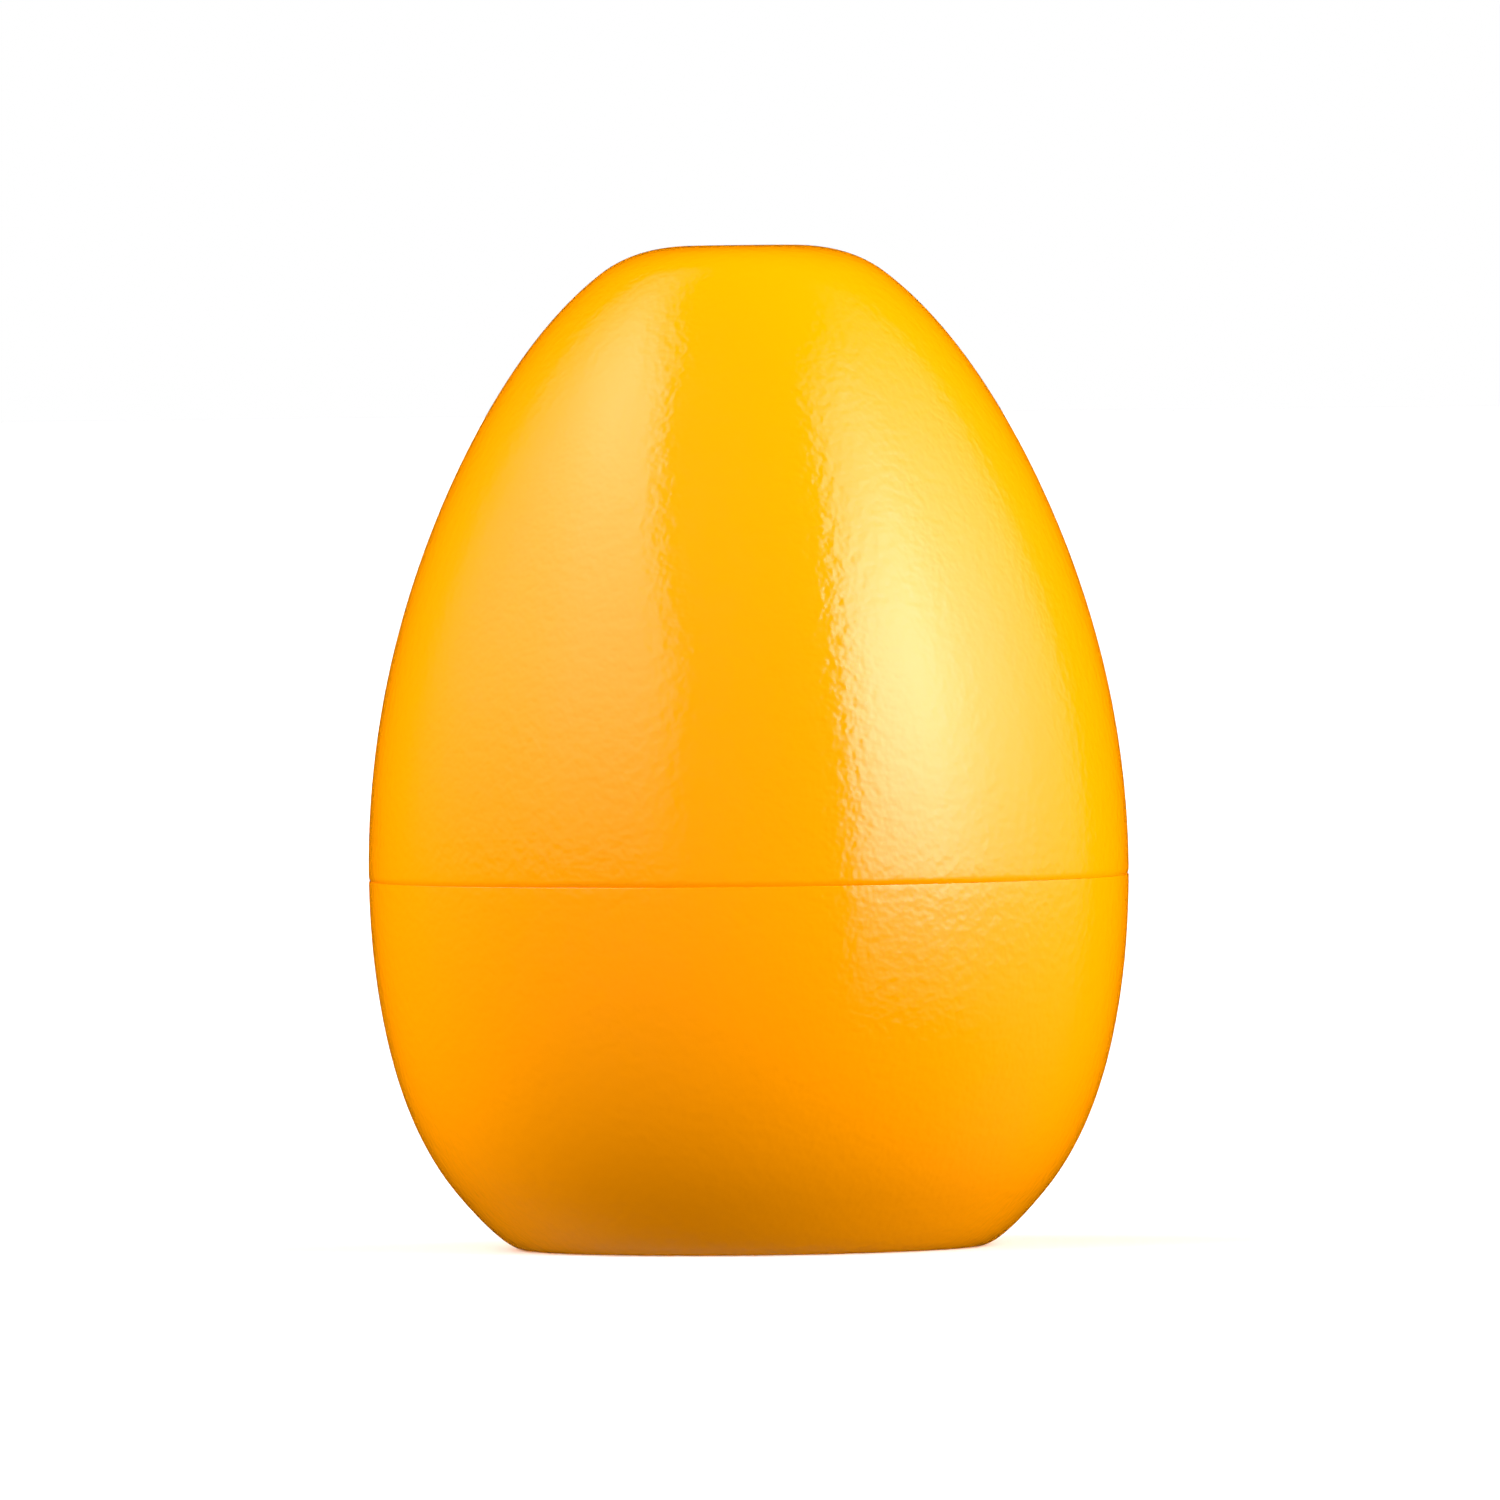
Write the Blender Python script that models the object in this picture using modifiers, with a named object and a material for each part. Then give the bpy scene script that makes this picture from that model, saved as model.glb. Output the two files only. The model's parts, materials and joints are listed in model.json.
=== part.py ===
"""Egg-shaped mechanical kitchen timer, built in metres, +Z up, standing on z = 0.

The upper shell is the dial.  It turns on the main arbor over a fixed lower
shell, which carries a small spring-driven movement: a going train with a
balance, a ringing train with a star wheel and hammer, and a cup bell that
hangs under the movement.  All lengths below are in millimetres.
"""

import math

import bmesh
import bpy

MM = 0.001

# Egg outline: r(z) = R sqrt(1 - u^2) (1 + K1 u + K2 u^2 + K3 u^3 + K4 u^4)
HEIGHT = 77.0
EGG_MID_Z = 37.1832
EGG_HALF = 41.6564
EGG_RADIUS = 28.7433
EGG_SHAPE = (-0.1714, 0.0539, -0.1230, 0.1437)
TOP_FLAT_R = 3.8
TOP_EDGE_R = 8.18
TOP_BLEND_Z = 74.9
BASE_FLAT_R = 17.6
BASE_EDGE_R = 19.04
BASE_BLEND_Z = 4.0

# Shells
SEAM_Z = 28.4
SEAM_GAP = 0.3
WALL_SIDE = 1.6
WALL_SHIFT = 1.0
RIM_INNER_R = 27.3
RIM_INNER_TOP = 32.6
LIP_OUTER_R = 26.95
LIP_INNER_R = 25.6
LIP_TOP = 30.5
LIP_FOOT_Z = 26.2
CEILING_Z = 75.1
CEILING_R = 6.0
SHELL_STEPS = 48
ROUND_STEPS = 24
SMALL_STEPS = 8

# Base opening and its cover
OPENING_R = 15.0
LEDGE_R = 11.0
LEDGE_Z = 2.3
FLOOR_Z = 4.0
COVER_R = 14.7
COVER_Z = (0.6, 2.0)
COVER_SCREW_RADIUS = 12.9
COVER_SCREW_ANGLES = (90, 210, 330)
COVER_HOLE_R = 0.75
COVER_SINK_R = 1.55
SOUND_SLOT_R = (5.0, 9.5)
SOUND_SLOTS = 6
SOUND_SLOT_HALF = 6.0

# Dial carrier inside the upper shell
CARRIER_R = 26.5
CARRIER_Z = (31.5, 33.0)
HUB_R = 4.0
HUB_TOP = 38.0
BOSS_RADIUS = 22.5
BOSS_R = 2.0
BOSS_Z = (33.3, 45.0)
BOSS_BORE_R = 0.95
RIB_RADIUS = 25.7
RIB_SIZE = (3.6, 1.4, 10.7)
BOSS_ANGLES = (30, 150, 270)

# Movement plates, pillars and posts
PLATE_R = 22.9
BOTTOM_PLATE_Z = (12.6, 13.6)
TOP_PLATE_Z = (27.0, 28.0)
PILLAR_RADIUS = 21.0
PILLAR_ANGLES = (110, 215, 320)
PILLAR_R = 1.5
POST_RADIUS = 19.6
POST_ANGLES = (60, 170, 280)
POST_R = 2.0
POST_PILOT_R = 0.85
LEDGE_PILOT_R = 0.7
SCREW_HOLE_R = 1.0
PLATE_TAPPED_R = 0.85
PILLAR_BORE_R = 0.95
SPRING_POST = (12.2, 30.0)

# Going train: every wheel drives a pinion one sixth of its size
WHEEL_TEETH = 42
PINION_LEAVES = 7
MODULE_1 = 0.55
MODULE_2 = 0.45
MODULE_3 = 0.40
MODULE_4 = 0.34
DIR_SECOND = 0.0
DIR_THIRD = 105.0
DIR_FOURTH = 160.0
DIR_ESCAPE = 190.0
DIR_PALLET = 215.0
DIR_RINGER = 235.0
WHEEL_ADDENDUM = 0.75
WHEEL_DEDENDUM = 1.00
WHEEL_TIP = 0.10
WHEEL_ROOT = 0.27
LEAF_ADDENDUM = 0.45
LEAF_DEDENDUM = 1.05
LEAF_TIP = 0.10
LEAF_ROOT = 0.22

GREAT_Z = (19.4, 20.4)
SECOND_Z = (21.4, 22.2)
THIRD_Z = (23.2, 24.0)
FOURTH_Z = (25.0, 25.8)
ESCAPE_Z = (21.4, 22.2)
PINION_EXTRA = 0.3
ARBOR_R = 0.6
PIVOT_R = 0.4
PIVOT_HOLE_R = 0.55
SHAFT_Z = (13.9, 26.7)
PIVOT_Z = (12.75, 27.85)

# Escapement
ESCAPE_TEETH = 15
ESCAPE_TIP_R = 4.8
ESCAPE_ROOT_R = 3.7
PALLET_DISTANCE = 7.0
PALLET_PIN_R = 0.2
PALLET_PIN_RADIUS = 5.15
PALLET_HALF_SPAN = 42.0
PALLET_Z = (22.6, 23.1)
BALANCE_R = 5.0
BALANCE_Z = (23.6, 24.4)

# Ringing train, hammer and bell
STAR_TEETH = 12
STAR_TIP_R = 4.6
STAR_ROOT_R = 3.4
HAMMER_PIVOT = (13.4, 197.0)
HAMMER_HEAD = (13.0, 247.0)
HAMMER_HEAD_R = 1.5
HAMMER_HEAD_Z = (8.7, 10.0)
HAMMER_ARM_Z = (10.2, 11.0)
HAMMER_TAIL_Z = (21.4, 22.2)
HAMMER_TAIL = 3.8
HAMMER_SPRING_R = 1.15
HAMMER_SPRING_Z = 14.4
HAMMER_SPRING_PITCH = 0.6
HAMMER_SPRING_TURNS = 4
BELL_OUTER = ((16.8, 11.6), (16.0, 8.8), (14.2, 6.6), (10.5, 5.3), (1.5, 5.1))
BELL_INNER = ((1.5, 5.9), (10.3, 6.1), (13.6, 7.2), (15.2, 9.0), (16.0, 11.6))

# Main arbor, mainspring and alarm cam
MAIN_R = 1.4
BARREL_CORE_R = 2.0
MAINSPRING_Z = (14.6, 18.6)
MAINSPRING_TURNS = 5.0
MAINSPRING_THICK = 0.35
CAM_R = 6.0
CAM_NOTCH_R = 4.3
CAM_NOTCH_ANGLE = 262.0
CAM_NOTCH_HALF = 12.0
CAM_Z = (28.6, 29.4)
STOP_PIN_RADIUS = 4.5
STOP_PIN_ANGLE = 100.0
DIAL_TRAVEL = 165.0
LEVER_PIVOT = (-13.0, -12.0)
LEVER_ELBOW = (-0.9, -8.3)
LEVER_SPRING_FOOT = (-5.0, -16.5)
LEVER_NOSE_R = 6.3
LEVER_NOSE_ANGLE = 265.0

YELLOW = (1.0, 0.43, 0.0)
BRASS = (0.72, 0.52, 0.20)
STEEL = (0.55, 0.56, 0.58)
SPRING_STEEL = (0.25, 0.28, 0.34)
ZINC = (0.66, 0.67, 0.68)
BELL_STEEL = (0.70, 0.70, 0.72)
IVORY = (0.80, 0.77, 0.68)


def polar(radius, degrees, centre=(0.0, 0.0)):
    angle = math.radians(degrees)
    return (centre[0] + radius * math.cos(angle), centre[1] + radius * math.sin(angle))


def egg_radius(z):
    """Outer radius of the egg at height z, before its two ends are flattened."""
    u = (z - EGG_MID_Z) / EGG_HALF
    shape = 1.0 + sum(k * u ** (i + 1) for i, k in enumerate(EGG_SHAPE))
    return EGG_RADIUS * math.sqrt(max(0.0, 1.0 - u * u)) * shape


def bezier(p0, p1, p2, count):
    """Points on a quadratic curve from p0 to p2, both ends included."""
    points = []
    for i in range(count + 1):
        t = i / count
        a, b, c = (1 - t) ** 2, 2 * t * (1 - t), t * t
        points.append((a * p0[0] + b * p1[0] + c * p2[0], a * p0[1] + b * p1[1] + c * p2[1]))
    return points


def spaced(start, end, count):
    return [start + (end - start) * i / (count - 1) for i in range(count)]


def egg_arc(z_from, z_to, count):
    """Points down the egg between two heights, evenly spaced round its curve."""
    start = math.acos((z_from - EGG_MID_Z) / EGG_HALF)
    end = math.acos((z_to - EGG_MID_Z) / EGG_HALF)
    heights = [EGG_MID_Z + EGG_HALF * math.cos(a) for a in spaced(start, end, count)]
    return [(egg_radius(z), z) for z in heights]


# ---------------------------------------------------------------- scene helpers


def clear_scene():
    for obj in list(bpy.data.objects):
        bpy.data.objects.remove(obj, do_unlink=True)


def new_collection(name):
    collection = bpy.data.collections.new(name)
    bpy.context.scene.collection.children.link(collection)
    return collection


clear_scene()
PARTS = new_collection("kitchen_timer")
CUTTERS = new_collection("cutters")


def make_empty(name, location=(0.0, 0.0, 0.0), parent=None):
    empty = bpy.data.objects.new(name, None)
    empty.empty_display_size = 0.01
    empty.location = [c * MM for c in location]
    empty.parent = parent
    PARTS.objects.link(empty)
    return empty


def make_material(name, colour, metallic, roughness):
    material = bpy.data.materials.new(name + "_material")
    material.use_nodes = True
    shader = material.node_tree.nodes["Principled BSDF"]
    shader.inputs["Base Color"].default_value = (*colour, 1.0)
    shader.inputs["Metallic"].default_value = metallic
    shader.inputs["Roughness"].default_value = roughness
    material.diffuse_color = (*colour, 1.0)
    return material


def as_cutter(obj):
    for collection in list(obj.users_collection):
        collection.objects.unlink(obj)
    CUTTERS.objects.link(obj)
    obj.hide_render = True
    obj.display_type = "WIRE"
    return obj


def boolean(obj, tool, operation):
    modifier = obj.modifiers.new(tool.name, "BOOLEAN")
    modifier.operation = operation
    modifier.solver = "EXACT"
    modifier.object = as_cutter(tool)
    return obj


def lathe(name, profile, steps=SMALL_STEPS, at=(0.0, 0.0), closed=False):
    """Turn a profile of (radius, z) points about a vertical axis at `at`."""
    mesh = bpy.data.meshes.new(name)
    verts = [(r * MM, 0.0, z * MM) for r, z in profile]
    edges = [(i, i + 1) for i in range(len(verts) - 1)]
    if closed:
        edges.append((len(verts) - 1, 0))
    mesh.from_pydata(verts, edges, [])
    obj = bpy.data.objects.new(name, mesh)
    obj.location = (at[0] * MM, at[1] * MM, 0.0)
    PARTS.objects.link(obj)
    screw = obj.modifiers.new("turn", "SCREW")
    screw.angle = 2.0 * math.pi
    screw.steps = steps
    screw.render_steps = steps
    screw.use_merge_vertices = True
    screw.merge_threshold = 0.000001
    return obj


def stepped_rod(name, steps_down, at, segments=SMALL_STEPS):
    """A turned rod from (radius, z_top, z_bottom) steps listed from the top."""
    profile = [(0.0, steps_down[0][1])]
    for radius, top, bottom in steps_down:
        profile += [(radius, top), (radius, bottom)]
    profile.append((0.0, steps_down[-1][2]))
    return lathe(name, profile, segments, at)


def ring(name, outer, inner, z_low, z_high, segments=ROUND_STEPS, at=(0.0, 0.0)):
    profile = [(outer, z_high), (outer, z_low), (inner, z_low), (inner, z_high)]
    return lathe(name, profile, segments, at, closed=True)


def solid_from_curve(name, curve, raise_by=0.0):
    """Bake a filled or bevelled curve to a welded mesh, raised by `raise_by`."""
    source = bpy.data.objects.new(name + "_curve", curve)
    bpy.context.scene.collection.objects.link(source)
    bpy.context.view_layer.update()
    mesh = bpy.data.meshes.new_from_object(source)
    bpy.data.objects.remove(source, do_unlink=True)
    mesh.name = name
    weld = bmesh.new()
    weld.from_mesh(mesh)
    bmesh.ops.remove_doubles(weld, verts=weld.verts, dist=0.000001)
    bmesh.ops.recalc_face_normals(weld, faces=weld.faces)
    bmesh.ops.translate(weld, verts=weld.verts, vec=(0.0, 0.0, raise_by * MM))
    weld.to_mesh(mesh)
    weld.free()
    mesh.materials.clear()
    obj = bpy.data.objects.new(name, mesh)
    PARTS.objects.link(obj)
    return obj


def prism(name, loops, z_low, z_high):
    """Extrude flat outlines; loops after the first are holes."""
    curve = bpy.data.curves.new(name, "CURVE")
    curve.dimensions = "2D"
    curve.fill_mode = "BOTH"
    curve.extrude = 0.5 * (z_high - z_low) * MM
    for loop in loops:
        spline = curve.splines.new("POLY")
        spline.points.add(len(loop) - 1)
        for point, (x, y) in zip(spline.points, loop):
            point.co = (x * MM, y * MM, 0.0, 1.0)
        spline.use_cyclic_u = True
    return solid_from_curve(name, curve, 0.5 * (z_low + z_high))


def wire(name, points, radius):
    """A round wire through the given points, with flat ends."""
    curve = bpy.data.curves.new(name, "CURVE")
    curve.dimensions = "3D"
    curve.bevel_depth = radius * MM
    curve.bevel_resolution = 0
    curve.use_fill_caps = True
    spline = curve.splines.new("POLY")
    spline.points.add(len(points) - 1)
    for point, (x, y, z) in zip(spline.points, points):
        point.co = (x * MM, y * MM, z * MM, 1.0)
    return solid_from_curve(name, curve)


def box(name, size, centre, degrees=0.0):
    half = [0.5 * c * MM for c in size]
    mesh = bpy.data.meshes.new(name)
    shape = bmesh.new()
    bmesh.ops.create_cube(shape, size=2.0)
    bmesh.ops.scale(shape, verts=shape.verts, vec=half)
    shape.to_mesh(mesh)
    shape.free()
    obj = bpy.data.objects.new(name, mesh)
    obj.location = [c * MM for c in centre]
    obj.rotation_euler = (0.0, 0.0, math.radians(degrees))
    PARTS.objects.link(obj)
    return obj


# ---------------------------------------------------------------- flat outlines


def circle(centre, radius, count=ROUND_STEPS):
    return [polar(radius, 360.0 * i / count, centre) for i in range(count)]


def arc_slot(inner, outer, start, end, count, centre=(0.0, 0.0)):
    """A curved window between two radii."""
    outside = [polar(outer, a, centre) for a in spaced(start, end, count)]
    inside = [polar(inner, a, centre) for a in spaced(end, start, count)]
    return outside + inside


def capsule(p0, r0, p1, r1, count=7):
    """Outline of a tapered bar with rounded ends."""
    heading = math.degrees(math.atan2(p1[1] - p0[1], p1[0] - p0[0]))
    back = [polar(r0, a, p0) for a in spaced(heading + 90, heading + 270, count)]
    front = [polar(r1, a, p1) for a in spaced(heading - 90, heading + 90, count)]
    return back + front


def toothed(centre, teeth, tip_r, root_r, tip, root, phase):
    """Outline of a toothed wheel; tip and root are half widths in pitches."""
    pitch = 360.0 / teeth
    points = []
    for i in range(teeth):
        middle = phase + i * pitch
        points.append(polar(root_r, middle - root * pitch, centre))
        points.append(polar(tip_r, middle - tip * pitch, centre))
        points.append(polar(tip_r, middle + tip * pitch, centre))
        points.append(polar(root_r, middle + root * pitch, centre))
    return points


def wheel_outline(centre, module, phase):
    radius = 0.5 * WHEEL_TEETH * module
    tip_r = radius + WHEEL_ADDENDUM * module
    root_r = radius - WHEEL_DEDENDUM * module
    return toothed(centre, WHEEL_TEETH, tip_r, root_r, WHEEL_TIP, WHEEL_ROOT, phase)


def pinion_outline(centre, module, phase):
    radius = 0.5 * PINION_LEAVES * module
    tip_r = radius + LEAF_ADDENDUM * module
    root_r = radius - LEAF_DEDENDUM * module
    return toothed(centre, PINION_LEAVES, tip_r, root_r, LEAF_TIP, LEAF_ROOT, phase)


def meshing_phase(wheel_phase, direction):
    """Phase of a pinion whose gap meets the wheel tooth nearest the centre line."""
    wheel_pitch = 360.0 / WHEEL_TEETH
    pinion_pitch = 360.0 / PINION_LEAVES
    offset = ((direction - wheel_phase) / wheel_pitch) % 1.0
    return direction + 180.0 + (0.5 + offset) * pinion_pitch


def spacing(module):
    return 0.5 * (WHEEL_TEETH + PINION_LEAVES) * module


CENTRE = (0.0, 0.0)
SECOND = polar(spacing(MODULE_1), DIR_SECOND)
THIRD = polar(spacing(MODULE_2), DIR_THIRD, SECOND)
FOURTH = polar(spacing(MODULE_3), DIR_FOURTH, THIRD)
ESCAPE = polar(spacing(MODULE_4), DIR_ESCAPE, FOURTH)
PALLET = polar(PALLET_DISTANCE, DIR_PALLET, ESCAPE)
RINGER = polar(spacing(MODULE_1), DIR_RINGER)
HAMMER = polar(*HAMMER_PIVOT)

# ---------------------------------------------------------------- assembly tree

ROOT = make_empty("kitchen_timer")
CASE = make_empty("case", parent=ROOT)
MOVEMENT = make_empty("movement", parent=ROOT)
DIAL = make_empty("dial", parent=ROOT)
GREAT_AXIS = make_empty("great_axis", parent=MOVEMENT)
SECOND_AXIS = make_empty("second_axis", (*SECOND, 0.0), MOVEMENT)
THIRD_AXIS = make_empty("third_axis", (*THIRD, 0.0), MOVEMENT)
FOURTH_AXIS = make_empty("fourth_axis", (*FOURTH, 0.0), MOVEMENT)
ESCAPE_AXIS = make_empty("escape_axis", (*ESCAPE, 0.0), MOVEMENT)
BALANCE_AXIS = make_empty("balance_axis", (*PALLET, 0.0), MOVEMENT)
RINGER_AXIS = make_empty("ringer_axis", (*RINGER, 0.0), MOVEMENT)
HAMMER_AXIS = make_empty("hammer_axis", (*HAMMER, 0.0), MOVEMENT)
LEVER_AXIS = make_empty("lever_axis", (*LEVER_PIVOT, 0.0), MOVEMENT)


def finish(obj, parent, colour, metallic, roughness, sharp=35.0):
    """Freeze the modifiers, place the mesh in world space, shade and parent it."""
    bpy.context.view_layer.update()
    graph = bpy.context.evaluated_depsgraph_get()
    mesh = bpy.data.meshes.new_from_object(obj.evaluated_get(graph), depsgraph=graph)
    mesh.transform(obj.matrix_world)
    name = obj.name
    bpy.data.objects.remove(obj, do_unlink=True)
    weld = bmesh.new()
    weld.from_mesh(mesh)
    bmesh.ops.remove_doubles(weld, verts=weld.verts, dist=0.000002)
    bmesh.ops.recalc_face_normals(weld, faces=weld.faces)
    weld.to_mesh(mesh)
    weld.free()
    mesh.name = name
    mesh.materials.clear()
    mesh.materials.append(make_material(name, colour, metallic, roughness))
    for polygon in mesh.polygons:
        polygon.use_smooth = True
        polygon.material_index = 0
    mesh.set_sharp_from_angle(angle=math.radians(sharp))
    result = bpy.data.objects.new(name, mesh)
    PARTS.objects.link(result)
    result.parent = parent
    result.matrix_parent_inverse = parent.matrix_world.inverted()
    return result


# ---------------------------------------------------------------- case


def outer_upper(count):
    """Outside of the upper shell from the flat top down to the seam."""
    blend = (egg_radius(TOP_BLEND_Z), TOP_BLEND_Z)
    points = bezier((TOP_FLAT_R, HEIGHT), (TOP_EDGE_R, HEIGHT), blend, 4)[:-1]
    return points + egg_arc(TOP_BLEND_Z, SEAM_Z + 0.5 * SEAM_GAP, count)


def outer_lower(count):
    """Outside of the lower shell from the seam down to the flat base."""
    points = egg_arc(SEAM_Z - 0.5 * SEAM_GAP, BASE_BLEND_Z, count)
    return points + bezier(points[-1], (BASE_EDGE_R, 0.0), (BASE_FLAT_R, 0.0), 5)[1:]


def make_top_shell():
    rim = SEAM_Z + 0.5 * SEAM_GAP
    profile = [(0.0, HEIGHT)] + outer_upper(12)
    profile += [(RIM_INNER_R, rim), (RIM_INNER_R, RIM_INNER_TOP)]
    for z in (36.0, 44.0, 52.0, 59.0, 65.0, 70.0, 73.2):
        profile.append((egg_radius(z + WALL_SHIFT) - WALL_SIDE, z))
    profile += [(CEILING_R, CEILING_Z), (0.0, CEILING_Z)]
    shell = lathe("top_shell", profile, SHELL_STEPS)
    low, high = BOSS_Z
    for i, angle in enumerate(BOSS_ANGLES):
        boss = ring(f"boss_{i}", BOSS_R, BOSS_BORE_R, low, high, SMALL_STEPS, polar(BOSS_RADIUS, angle))
        boolean(shell, boss, "UNION")
        rib_middle = (*polar(RIB_RADIUS, angle), 0.5 * (low + high))
        rib = box(f"boss_rib_{i}", RIB_SIZE, rib_middle, angle)
        limit = lathe(f"rib_limit_{i}", rib_limit_profile(), SHELL_STEPS)
        boolean(rib, limit, "INTERSECT")
        boolean(shell, rib, "UNION")
    return finish(shell, DIAL, YELLOW, 0.0, 0.35)


def rib_limit_profile():
    """A solid core that ends half way through the wall of the upper shell."""
    heights = (50.0, 44.0, 38.0, 33.0)
    points = [(egg_radius(z) - 0.5 * WALL_SIDE, z) for z in heights]
    return [(0.0, heights[0])] + points + [(0.0, heights[-1])]


def make_bottom_shell():
    seat = SEAM_Z - 0.5 * SEAM_GAP
    profile = [(LIP_OUTER_R, LIP_TOP), (LIP_OUTER_R, seat)]
    profile += outer_lower(9)
    profile += [(OPENING_R, 0.0), (OPENING_R, LEDGE_Z), (LEDGE_R, LEDGE_Z), (LEDGE_R, FLOOR_Z)]
    for z in (FLOOR_Z, 6.0, 9.0, 13.0, 18.0, 24.6):
        profile.append((egg_radius(z - WALL_SHIFT) - WALL_SIDE, z))
    profile += [(LIP_INNER_R, LIP_FOOT_Z), (LIP_INNER_R, LIP_TOP)]
    shell = lathe("bottom_shell", profile, SHELL_STEPS, closed=True)
    for i, angle in enumerate(POST_ANGLES):
        at = polar(POST_RADIUS, angle)
        high = BOTTOM_PLATE_Z[0] - 0.3
        post = stepped_rod(f"post_{i}", [(POST_R, high, FLOOR_Z - 0.5)], at)
        boolean(shell, post, "UNION")
        pilot = stepped_rod(f"post_pilot_{i}", [(POST_PILOT_R, high + 1.0, high - 6.0)], at)
        boolean(shell, pilot, "DIFFERENCE")
    for i, angle in enumerate(COVER_SCREW_ANGLES):
        at = polar(COVER_SCREW_RADIUS, angle)
        pilot = stepped_rod(f"ledge_pilot_{i}", [(LEDGE_PILOT_R, FLOOR_Z + 1.0, LEDGE_Z - 1.0)], at)
        boolean(shell, pilot, "DIFFERENCE")
    return finish(shell, CASE, YELLOW, 0.0, 0.35)


def make_base_cover():
    low, high = COVER_Z
    loops = [circle(CENTRE, COVER_R, SHELL_STEPS)]
    centres = [polar(COVER_SCREW_RADIUS, a) for a in COVER_SCREW_ANGLES]
    loops += [circle(centre, COVER_HOLE_R, SMALL_STEPS) for centre in centres]
    for i in range(SOUND_SLOTS):
        middle = 360.0 * i / SOUND_SLOTS
        loops.append(arc_slot(*SOUND_SLOT_R, middle - SOUND_SLOT_HALF, middle + SOUND_SLOT_HALF, 3))
    cover = prism("base_cover", loops, low, high)
    for i, centre in enumerate(centres):
        sink = stepped_rod(f"cover_sink_{i}", [(COVER_SINK_R, low + 0.7, low - 1.0)], centre, 12)
        boolean(cover, sink, "DIFFERENCE")
    return finish(cover, CASE, YELLOW, 0.0, 0.45)


def make_screw(name, at, head_r, head_z, shaft_r, shaft_end, parent, angle=0.0):
    """A slotted screw; its head lies between head_z[0] and head_z[1]."""
    low, high = head_z
    up = shaft_end > high
    if up:
        steps = [(shaft_r, shaft_end, high), (head_r, high, low)]
    else:
        steps = [(head_r, high, low), (shaft_r, low, shaft_end)]
    screw = stepped_rod(name, steps, at)
    depth = 0.4 * (high - low)
    middle = low if up else high
    slot = box(name + "_slot", (3.0 * head_r, 0.35, 2.0 * depth), (*at, middle), angle)
    boolean(screw, slot, "DIFFERENCE")
    return finish(screw, parent, ZINC, 0.9, 0.35)


# ---------------------------------------------------------------- dial body


def make_dial_carrier():
    low, high = CARRIER_Z
    loops = [circle(CENTRE, CARRIER_R, SHELL_STEPS), circle(CENTRE, MAIN_R + 0.2, 12)]
    loops += [circle(polar(BOSS_RADIUS, a), SCREW_HOLE_R, SMALL_STEPS) for a in BOSS_ANGLES]
    for angle in BOSS_ANGLES:
        loops.append(arc_slot(8.0, 21.0, angle + 24.0, angle + 96.0, 9))
    disc = prism("dial_carrier", loops, low, high)
    hub = ring("carrier_hub", HUB_R, MAIN_R + 0.2, low, HUB_TOP, 12)
    boolean(disc, hub, "UNION")
    return finish(disc, DIAL, IVORY, 0.0, 0.5)


def make_main_arbor():
    steps = [
        (MAIN_R, 36.5, 18.9),
        (BARREL_CORE_R, 18.9, 14.1),
        (1.0, 14.1, 13.15),
    ]
    return finish(stepped_rod("main_arbor", steps, CENTRE, 12), DIAL, STEEL, 1.0, 0.3)


def make_alarm_cam():
    start = CAM_NOTCH_ANGLE + CAM_NOTCH_HALF
    rim = [polar(CAM_R, a) for a in spaced(start, start + 360.0 - 2 * CAM_NOTCH_HALF, 40)]
    notch = [polar(CAM_NOTCH_R, a) for a in spaced(CAM_NOTCH_ANGLE - 14.0, CAM_NOTCH_ANGLE + 14.0, 5)]
    loops = [rim + notch, circle(CENTRE, MAIN_R + 0.2, 12)]
    loops.append(circle(polar(STOP_PIN_RADIUS, STOP_PIN_ANGLE), 0.6, SMALL_STEPS))
    return finish(prism("alarm_cam", loops, *CAM_Z), DIAL, BRASS, 1.0, 0.3)


def make_stop_pin():
    steps = [(0.4, CAM_Z[1] + 0.1, 27.2)]
    at = polar(STOP_PIN_RADIUS, STOP_PIN_ANGLE)
    return finish(stepped_rod("stop_pin", steps, at), DIAL, STEEL, 1.0, 0.3)


def make_clutch_washer():
    profile = [(4.4, 20.75), (1.7, 20.95), (1.7, 21.15), (4.4, 20.95)]
    washer = lathe("clutch_washer", profile, ROUND_STEPS, closed=True)
    return finish(washer, DIAL, SPRING_STEEL, 1.0, 0.3)


# ---------------------------------------------------------------- movement frame


def pivot_holes(big=()):
    """Bearing holes of a plate; arbors named in `big` pass right through."""
    holes = []
    for centre in (SECOND, THIRD, FOURTH, ESCAPE, PALLET, RINGER, HAMMER):
        radius = 0.9 if centre in big else PIVOT_HOLE_R
        holes.append(circle(centre, radius, SMALL_STEPS))
    return holes


def make_bottom_plate():
    loops = [circle(CENTRE, PLATE_R, SHELL_STEPS), circle(CENTRE, 1.25, 12)]
    loops += pivot_holes(big=(HAMMER,))
    loops += [circle(polar(PILLAR_RADIUS, a), SCREW_HOLE_R, SMALL_STEPS) for a in PILLAR_ANGLES]
    loops += [circle(polar(POST_RADIUS, a), PLATE_TAPPED_R, SMALL_STEPS) for a in POST_ANGLES]
    plate = prism("bottom_plate", loops, *BOTTOM_PLATE_Z)
    post = stepped_rod("spring_post", [(0.8, 19.0, 13.0)], polar(*SPRING_POST))
    boolean(plate, post, "UNION")
    return finish(plate, MOVEMENT, BRASS, 1.0, 0.3)


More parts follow.
